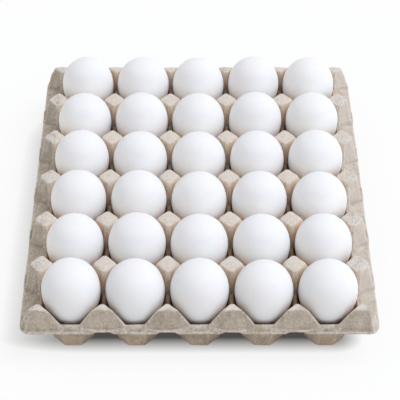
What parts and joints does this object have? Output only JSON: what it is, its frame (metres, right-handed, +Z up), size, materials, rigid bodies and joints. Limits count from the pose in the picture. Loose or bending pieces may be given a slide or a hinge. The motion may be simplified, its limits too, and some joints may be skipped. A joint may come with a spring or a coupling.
{
  "type": "egg tray with eggs",
  "caption": "Open egg carton tray of moulded paper pulp with a white egg standing blunt end up in every cup, posts with flat caps between the cups and a turned-out lip",
  "frame": {"origin": "on the ground under the middle of the tray", "axes": "+Z up, +Y along the tray's long side from its front to its back, +X along its short side to the right"},
  "size_m": [0.2658, 0.292, 0.0714],
  "materials": {
    "pulp": "matt grey-beige moulded paper pulp with fine fibres and brown flecks",
    "eggshell": "matt white eggshell with fine pores"
  },
  "bodies": {
    "root": {"tray": "pulp", "egg_row1_col1": "eggshell", "egg_row1_col2": "eggshell", "egg_row1_col3": "eggshell", "egg_row1_col4": "eggshell", "egg_row1_col5": "eggshell", "egg_row2_col1": "eggshell", "egg_row2_col2": "eggshell", "egg_row2_col3": "eggshell", "egg_row2_col4": "eggshell", "egg_row2_col5": "eggshell", "egg_row3_col1": "eggshell", "egg_row3_col2": "eggshell", "egg_row3_col3": "eggshell", "egg_row3_col4": "eggshell", "egg_row3_col5": "eggshell", "egg_row4_col1": "eggshell", "egg_row4_col2": "eggshell", "egg_row4_col3": "eggshell", "egg_row4_col4": "eggshell", "egg_row4_col5": "eggshell", "egg_row5_col1": "eggshell", "egg_row5_col2": "eggshell", "egg_row5_col3": "eggshell", "egg_row5_col4": "eggshell", "egg_row5_col5": "eggshell", "egg_row6_col1": "eggshell", "egg_row6_col2": "eggshell", "egg_row6_col3": "eggshell", "egg_row6_col4": "eggshell", "egg_row6_col5": "eggshell"}
  },
  "joints": []
}
